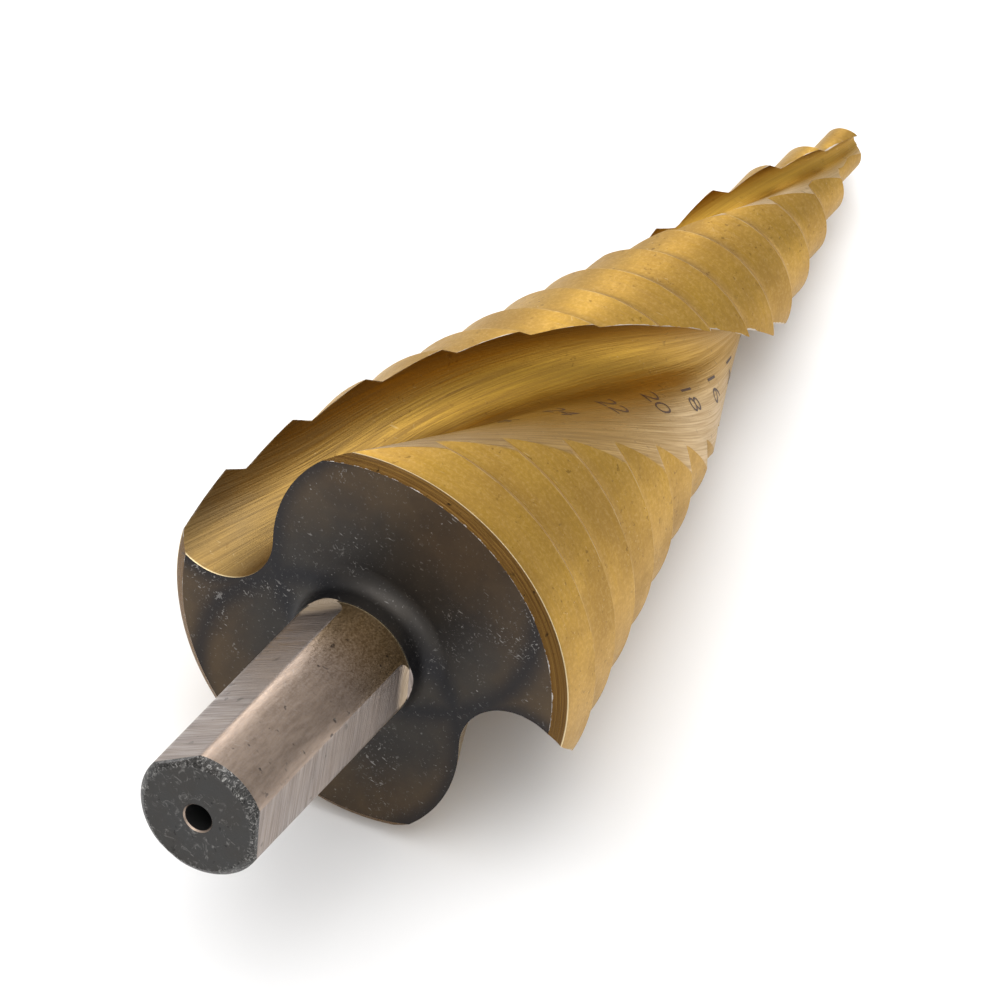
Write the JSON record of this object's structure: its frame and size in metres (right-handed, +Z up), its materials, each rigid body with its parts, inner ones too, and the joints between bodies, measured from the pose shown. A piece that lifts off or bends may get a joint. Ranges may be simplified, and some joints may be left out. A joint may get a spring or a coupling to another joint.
{
  "type": "step drill",
  "caption": "Step drill with two spiral flutes, a stepped conical body and a short shank with three flats, lying on its side.",
  "frame": {"origin": "centre of the footprint's box, on the surface that the drill lies on", "axes": "+X towards the tip along the drill's length, +Z up from the surface"},
  "size_m": [0.0996, 0.0318, 0.0313],
  "materials": {
    "coated_steel": "gold-coloured coating on the cone, bare brown-grey steel on the rear face and shank"
  },
  "bodies": {
    "root": {"step_drill": "coated_steel"}
  },
  "joints": []
}
